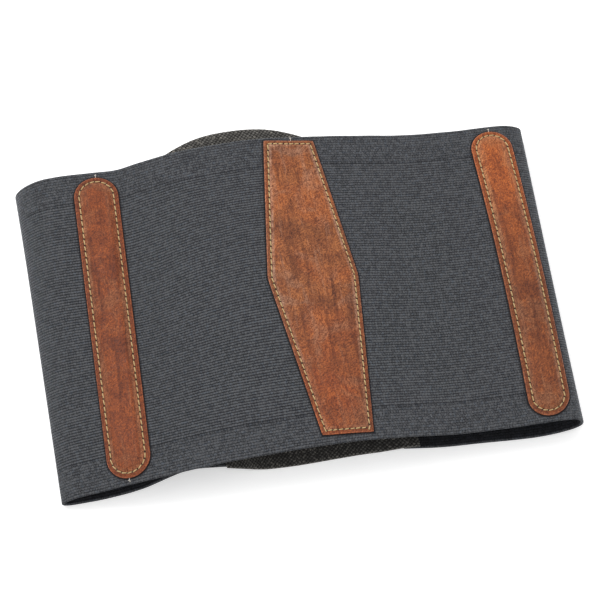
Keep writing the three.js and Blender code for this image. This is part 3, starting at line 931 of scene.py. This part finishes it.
def leather_finish(leather):
    """Oiled, scuffed leather: cloudy face, greyish scuffs, darker streaks, a band inside the seam that is partly
    scuffed and partly painted sheen, a cut edge that is partly worn and partly a painted highlight, tones lighter
    towards the upper right and darker towards the patch's lower end, and painted shade along the seam and in the
    needle holes.
    """
    f = Finish("oiled_leather")
    u, v = f.map("grain")
    s, gap = f.map("seam")
    rim = f.node("Attribute", {"attribute_name": "rim"}, out=2)
    place = f.node("TexCoord", {}, out=3)
    clouds = f.noise(place, 90.0, 3.0, 0.6, 0.5)
    patches = f.noise(place, 42.0, 3.0, 0.55, 0.8)
    deep = f.noise(f.spot(u * 60.0, v * 34.0, 5.0), 1.0, 3.0, 0.55, 0.5)
    streak = f.noise(f.spot(u * 150.0, v * 14.0), 1.0, 4.0, 0.6, 0.4)
    nap = f.noise(place, 900.0, 2.0, 0.7)
    along = f.noise(f.spot(u * 900.0, v * 260.0, 2.0), 1.0, 3.0, 0.65, 0.8)
    across = f.noise(f.spot((u + v) * 240.0, (u - v) * 700.0, 4.0), 1.0, 3.0, 0.65, 0.8)
    fleck = f.blend(f.smooth(f.noise(place, 75.0, 2.0, 0.5, 0.6), 0.42, 0.58), along, across)
    x, y, _ = f.parts(place)
    on_strip = f.smooth(f.sum("ABSOLUTE", x), 0.06, 0.12)
    toward_upper_right = f.smooth(x + y * 1.2, 0.12, 0.27)
    patch_low_end = (1 - f.smooth(y, -0.1, -0.02)) * (1 - on_strip)
    face = list(leather.face)
    dark = [c * k for c, k in zip(face, (0.50, 0.41, 0.36))]
    warm = [c * k for c, k in zip(face, (1.28, 1.36, 1.30))]
    scuffed = [0.250, 0.118, 0.074]
    shade = f.mix(f.smooth(clouds, 0.36, 0.64), face, warm)
    shade = f.mix(f.smooth(patches, 0.50, 0.66) * 0.6, shade, scuffed)
    shade = f.mix(f.smooth(deep, 0.50, 0.68) * 0.5, shade, dark)
    shade = f.mix(f.smooth(streak, 0.52, 0.66) * 0.7, shade, dark)
    shade = f.mix((1 - f.smooth(streak, 0.34, 0.46)) * 0.5, shade, scuffed)
    # A band just inside the seam, partly scuffed and partly painted sheen: lighter pinkish grey where streaks and
    # clouds are strong.
    ridge_scuff_and_sheen = f.smooth(rim, 1.08, 1.25) * (1 - f.smooth(rim, 1.5, 2.1))
    shade = f.mix(ridge_scuff_and_sheen * f.smooth(streak + clouds, 0.8, 1.1) * 0.75, shade, [0.330, 0.175, 0.120])
    outside = 1 - f.smooth(rim, 0.72, 1.05)
    shade = f.mix(outside * 0.85, shade, list(leather.rim))
    # The cut edge, partly worn and partly a painted highlight: a lighter pinkish red, as if its bevel caught the
    # light.
    edge_wear_and_highlight = 1 - f.smooth(rim, 0.05, 0.28)
    shade = f.mix(edge_wear_and_highlight * 0.75, shade, [0.46, 0.175, 0.105])
    grain = f.smooth(nap * 0.45 + fleck * 0.55, 0.37, 0.63)
    shade = f.mix(1.0, shade, f.mix(grain, [0.42, 0.30, 0.22], [1.36, 1.42, 1.38]), "MULTIPLY")
    curl = f.sum("ABSOLUTE", f.noise(place, 330.0, 1.0, 0.5, 1.6) - 0.5)
    curl = f.sum("MINIMUM", curl, f.sum("ABSOLUTE", f.noise(f.spot(u, v, 9.0), 430.0, 1.0, 0.5, 2.2) - 0.5))
    fibre = 1 - f.smooth(curl, 0.01, 0.045)
    shade = f.mix(fibre * 0.6, shade, f.mix(1.0, shade, [1.60, 1.84, 1.90], "MULTIPLY"))
    for side, tone in ((-1, [0.82, 0.59, 0.41]), (1, [0.80, 0.66, 0.51])):
        shade = f.mix(f.smooth(x * side, 0.06, 0.12), shade, f.mix(1.0, shade, tone, "MULTIPLY"))
    # Lighter towards the upper right.
    shade = f.mix(toward_upper_right, shade, f.mix(1.0, shade, [1.72, 1.60, 1.32], "MULTIPLY"))
    glow = f.smooth(f.noise(place, 24.0, 2.0, 0.5, 0.4), 0.45, 0.62) * (1 - on_strip)
    shade = f.mix(glow, shade, f.mix(1.0, shade, [1.20, 1.09, 0.98], "MULTIPLY"))
    # Darker towards the patch's lower end.
    shade = f.mix(patch_low_end, shade, f.mix(1.0, shade, [0.84, 0.68, 0.54], "MULTIPLY"))
    # Painted shade along the seam, for the shadows beside the stitches.
    seam_shade = 1 - f.smooth(gap, 0.0002, 0.0012)
    shade = f.mix(seam_shade * 0.45, shade, dark)
    # Needle holes between the stitches: painted shade, near black, with a dip in the bump.
    phase = f.sum("ABSOLUTE", f.sum("FRACT", s + 0.5) - 0.5) * leather.stitch
    reach = f.sum("SQRT", phase * phase + gap * gap)
    hole = 1 - f.smooth(reach, 0.0005, 0.0010)
    shade = f.mix(hole * 0.9, shade, [0.02, 0.011, 0.006])
    height = nap * 0.3 + fleck * 0.3 + fibre * 0.25 + clouds * 0.4 - hole * 1.0
    rough = 0.58 + (patches - 0.5) * 0.3 + (nap - 0.5) * 0.2
    return f.surface(
        {"Base Color": shade, "Roughness": rough, "Specular IOR Level": 0.35, "Sheen Weight": 0.05},
        height, 0.6, 0.0009)


def thread_finish(name, tint):
    """Twisted sewing thread, its twist painted as stripes of light and shade."""
    f = Finish(name)
    u, v = f.map("thread")
    twist = f.sum("SINE", (u * 3.0 + v * 1.2) * (2 * math.pi)) * 0.5 + 0.5
    worn = f.chance(f.spot(f.sum("FLOOR", u), 1.0))
    # Painted light and shade: a shaded and a lit copy of the thread's colour alternate along the twist, as the
    # plies would catch the light; the bump follows the same twist.
    shade = f.mix(twist, [c * 0.62 for c in tint], [min(1, c * 1.15) for c in tint])
    shade = f.mix(worn * 0.45, shade, [tint[0] * 0.62, tint[1] * 0.48, tint[2] * 0.36])
    return f.surface({"Base Color": shade, "Roughness": 0.6, "Sheen Weight": 0.2}, twist, 0.4, 0.0002)


def floor_finish(tint):
    """Matt pale paper."""
    f = Finish("pale_floor")
    place = f.node("TexCoord", {}, out=3)
    tooth = f.noise(place, 600.0, 2.0)
    shade = f.mix(tooth * 0.02, list(tint), [c * 0.9 for c in tint])
    return f.surface(
        {"Base Color": shade, "Roughness": 0.95, "Specular IOR Level": 0.1, "Emission Color": (1, 1, 1),
         "Emission Strength": 0.38},
        tooth, 0.05, 0.0003)


def wear(piece, material):
    piece.data.materials.clear()
    piece.data.materials.append(material)


# Pieces

class PanelPlace:
    """Where the front panel lies in the loop."""

    def __init__(self, loop, panel):
        self.loop, self.panel = loop, panel
        self.middle = loop.girth / 2 - panel.offset
        self.half = panel.width / 2

    def lean(self, height):
        return height * math.tan(self.panel.turn)

    def band_lean(self, distance, height):
        """Slant of the band's ends along the panel's sides, which fades out away from them."""
        turns = np.round((distance - self.middle) / self.loop.girth)
        away = np.abs(distance - turns * self.loop.girth - self.middle)
        return self.lean(height) * (1 - smoothstep(self.half, self.half + SLANT_FADE, away))


class BELT_OT_elastic(bpy.types.Operator):
    """Weave the elastic band and lay it in its flattened loop"""

    bl_idname = "belt.elastic"
    bl_label = "Elastic band"

    def execute(self, context):
        elastic, panel = context.scene.belt_elastic, context.scene.belt_panel
        loop = Loop(elastic)
        seat = PanelPlace(loop, panel)
        rim = elastic.wall / 2
        start = seat.middle - loop.girth + seat.half - panel.lap
        end = seat.middle - seat.half + panel.lap
        stops, full_round = rounded_stops(start, end, rim, 3, 0.003)
        inner = loop.columns(start + rim, end - rim, 0.003, 0.12)
        stops = np.concatenate([stops[:3], inner, stops[-3:]])
        full_round = np.concatenate([full_round[:3], np.ones(len(inner)), full_round[-3:]])
        heights, full_up = rounded_stops(-loop.height / 2, loop.height / 2, rim, 4, 0.0035)
        d, h = np.meshgrid(stops, heights)
        full = np.minimum(full_round[None, :], full_up[:, None])

        def place(side):
            return loop.off(d + seat.band_lean(d, h), h, side * full * elastic.wall / 2)

        band = pillow("elastic_cloth", stops, heights, place, [("weave", d, h)])
        wear(band, elastic_finish(elastic, loop, context.scene.belt_leather))
        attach(band, BODY)
        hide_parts("elastic_band")
        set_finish(band, "elastic")
        return {"FINISHED"}


class BELT_OT_panel(bpy.types.Operator):
    """Fill the tweed front panel and lay it inside the loop"""

    bl_idname = "belt.panel"
    bl_label = "Front panel"

    def execute(self, context):
        elastic, panel = context.scene.belt_elastic, context.scene.belt_panel
        loop = Loop(elastic)
        seat = PanelPlace(loop, panel)
        across, full_u = rounded_stops(-seat.half, seat.half, panel.edge / 2, 4, 0.0022)
        up, full_v = rounded_stops(-1, 1, 0.012, 4, 0.0165)
        a, v = np.meshgrid(across, up)
        u = a / seat.half
        bow = 1 - np.abs(u) ** PANEL_BOW_POWER
        far = loop.height / 2 + panel.far_bow * bow
        near = -loop.height / 2 - panel.near_extra - panel.near_bow * bow - panel.near_slant * u
        h = near + (far - near) * (v + 1) / 2
        pad = (1 - u**4) * (1 - v**4)
        thick = (panel.edge + (panel.pad - panel.edge) * pad) * np.minimum(full_u[None, :], full_v[:, None])
        sink = smoothstep(0, PANEL_SINK, seat.half - np.abs(a) - panel.lap)
        sole = -elastic.wall / 2 - SEAT_GAP + (elastic.wall + SEAT_GAP) * sink
        body = (panel.edge + (panel.pad - panel.edge) * pad)
        middle = sole - body / 2

        def place(side):
            return loop.off(seat.middle + a + seat.lean(h), h, middle + side * thick / 2)

        pad_piece = pillow("tweed_panel", across, up, place, [("weave", a, h)])
        wear(pad_piece, tweed_finish(panel))
        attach(pad_piece, BODY)
        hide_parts("front_panel")
        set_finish(pad_piece, "tweed")
        return {"FINISHED"}


def leather_piece(context, name, flat_piece, cut, tails):
    """Finishes, lays and sews one leather piece, and leaves its thread ends."""
    leather = context.scene.belt_leather
    outline = outline_of(flat_piece)
    path = inset_path(outline, cut.inset)
    finish_leather(flat_piece, leather, cut.inset, 0.004, 0.0031)
    seam = Seam(path, leather)
    lay_leather(flat_piece, cut, leather, outline, path, seam)
    wear(flat_piece, bpy.data.materials.get("oiled_leather") or leather_finish(leather))
    stitch = model_stitch(leather)
    stitches = sew(f"{name}_stitches", stitch, cut, leather, seam)
    bpy.data.objects.remove(stitch)
    wear(stitches, bpy.data.materials.get("sewing_thread")
         or thread_finish("sewing_thread", list(leather.thread_colour)))
    made = [flat_piece, stitches]
    for k, (at, ends) in enumerate(tails):
        tail = thread_tails(f"{name}_thread_ends_{k + 1}", cut, leather, at, ends)
        wear(tail, bpy.data.materials.get("cut_thread") or thread_finish("cut_thread", [0.72, 0.70, 0.66]))
        made.append(tail)
    for piece in made:
        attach(piece, BODY)
        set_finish(piece, "leather")
    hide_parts(name)


TUFT = [(0.0006, 0.0022, 0.0006), (-0.0009, 0.0018, 0.0009), (0.0002, 0.0028, 0.0003)]


class BELT_OT_strips(bpy.types.Operator):
    """Cut the two leather strips, lay them over their stays and sew them on"""

    bl_idname = "belt.strips"
    bl_label = "Leather strips"

    def execute(self, context):
        elastic, leather = context.scene.belt_elastic, context.scene.belt_leather
        loop = Loop(elastic)
        for name, width, ends, cut in strip_cuts(loop, leather):
            flat = cut_strip(f"{name}_leather", leather, width, loop.height)
            top = cut.length / 2
            tails = [((0.001 * way, way * (top + 0.0002)), [(x, way * y, z) for x, y, z in TUFT]) for way in ends]
            leather_piece(context, name, flat, cut, tails)
        return {"FINISHED"}


class BELT_OT_patch(bpy.types.Operator):
    """Cut the six-sided leather patch, lay it on the back and sew it on"""

    bl_idname = "belt.patch"
    bl_label = "Leather patch"

    def execute(self, context):
        elastic, leather = context.scene.belt_elastic, context.scene.belt_leather
        loop = Loop(elastic)
        length = loop.height - 2 * leather.patch_margin
        flat = cut_patch("back_patch_leather", leather, loop.height)
        tails = [((0.002, length / 2 + 0.0002), TUFT)]
        leather_piece(context, "back_patch", flat, patch_cut(loop, leather), tails)
        return {"FINISHED"}


class BELT_OT_declare(bpy.types.Operator):
    """Work out the length of elastic between the front panel's sides, which nothing uses further"""

    bl_idname = "belt.declare"
    bl_label = "Cloth sizes"

    def execute(self, context):
        elastic, panel = context.scene.belt_elastic, context.scene.belt_panel
        length = elastic.girth - panel.width + 2 * panel.lap
        return {"FINISHED"}


class BELT_OT_stage(bpy.types.Operator):
    """Put down the floor, the lights and the camera"""

    bl_idname = "belt.stage"
    bl_label = "Stage"

    def execute(self, context):
        stage = context.scene.belt_stage
        start_clean()
        bpy.ops.mesh.primitive_plane_add(size=6)
        floor = context.object
        floor.name = floor.data.name = "floor"
        floor.data.transform(floor.matrix_world)
        wear(floor, floor_finish(list(stage.floor)))
        floor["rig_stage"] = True
        world = bpy.data.worlds.new("studio")
        context.scene.world = world
        world.use_nodes = True
        background = world.node_tree.nodes["Background"]
        background.inputs["Color"].default_value = (1, 1, 1, 1)
        background.inputs["Strength"].default_value = 0.55
        for name, place, size_x, power in (
            ("soft_top", (0.1, 0.1, 1.5), 1.6, 10.5),
            ("key_left", (-0.6, 0.5, 1.3), 0.6, 9.5),
            ("soft_front", (0.3, -1.5, 1.2), 1.4, 4.0),
        ):
            bpy.ops.object.light_add(type="AREA", location=place)
            lamp = context.object
            lamp.name = name
            lamp.data.size, lamp.data.energy = size_x, power
            lamp.rotation_euler = (AIM - Vector(place)).to_track_quat("-Z", "Y").to_euler()
        bpy.ops.object.camera_add()
        camera = context.object
        camera.name = "photo_camera"
        az, el = stage.azimuth, stage.elevation
        back = Vector((math.sin(az) * math.cos(el), -math.cos(az) * math.cos(el), math.sin(el)))
        camera.location = AIM + back * stage.distance
        camera.rotation_euler = (-back).to_track_quat("-Z", "Y").to_euler()
        camera.data.lens, camera.data.sensor_width = stage.lens, 36
        context.scene.camera = camera
        context.scene.view_settings.view_transform = "Standard"
        return {"FINISHED"}


class BELT_PT_sidebar(bpy.types.Panel):
    """Sizes, colours and pieces of the belt"""

    bl_idname = "BELT_PT_sidebar"
    bl_label = "Lumbar support belt"
    bl_space_type = "VIEW_3D"
    bl_region_type = "UI"
    bl_category = "Belt"

    def draw(self, context):
        for step in STEPS:
            self.layout.operator(step.bl_idname)
        for name in GROUPS:
            group = getattr(context.scene, name)
            box = self.layout.box()
            for label in group.bl_rna.properties.keys():
                if label not in ("rna_type", "name"):
                    box.prop(group, label)


GROUPS = {"belt_elastic": BeltElastic, "belt_panel": BeltPanel, "belt_leather": BeltLeather,
          "belt_stage": BeltStage}
STEPS = [BELT_OT_stage, BELT_OT_elastic, BELT_OT_panel, BELT_OT_strips, BELT_OT_patch, BELT_OT_declare]


def register():
    for made in (*GROUPS.values(), *STEPS, BELT_PT_sidebar):
        bpy.utils.register_class(made)
    for name, group in GROUPS.items():
        setattr(bpy.types.Scene, name, bpy.props.PointerProperty(type=group))


def unregister():
    for name in GROUPS:
        delattr(bpy.types.Scene, name)
    for made in (BELT_PT_sidebar, *STEPS, *GROUPS.values()):
        bpy.utils.unregister_class(made)


def main():
    register()
    bpy.ops.belt.stage()
    bpy.ops.belt.elastic()
    bpy.ops.belt.panel()
    bpy.ops.belt.strips()
    bpy.ops.belt.patch()
    bpy.ops.belt.declare()


if __name__ == "__main__":
    main()
